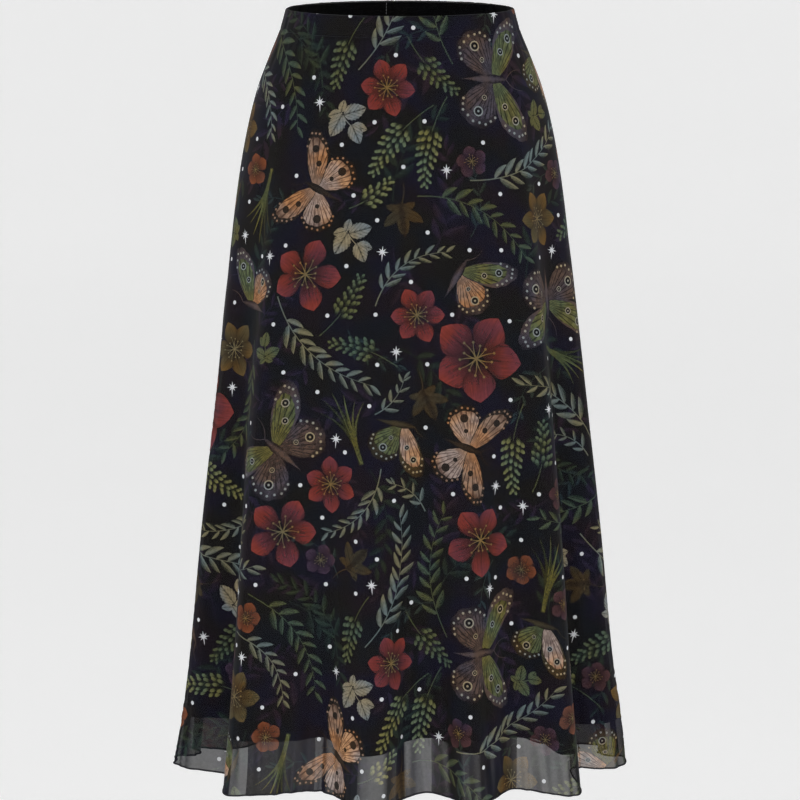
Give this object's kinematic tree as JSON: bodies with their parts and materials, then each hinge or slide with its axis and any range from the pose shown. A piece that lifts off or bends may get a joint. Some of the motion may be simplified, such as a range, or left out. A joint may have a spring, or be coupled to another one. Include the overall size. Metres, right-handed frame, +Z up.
{
  "type": "a-line skirt",
  "caption": "Hollow A-line midi skirt in its worn shape: an elastic waistband, a sheer printed outer layer with soft flutes at the hem, and a shorter opaque lining.",
  "frame": {"origin": "the middle of the waist at the top edge of the waistband, where the wearer holds the skirt up", "axes": "+Z up, -Y out of the skirt's front, +X towards the wearer's left"},
  "size_m": [0.5172, 0.3375, 0.8829],
  "materials": {
    "printed_chiffon": "sheer matt chiffon, near-black with a many-coloured botanical print",
    "lining_cloth": "opaque matt lining, near-black",
    "waist_casing": "printed cloth over elastic, smooth, with one row of stitching"
  },
  "bodies": {
    "root": {"waistband": "waist_casing", "outer_front": "printed_chiffon", "outer_back": "printed_chiffon", "lining_front": "lining_cloth", "lining_back": "lining_cloth"}
  },
  "joints": []
}
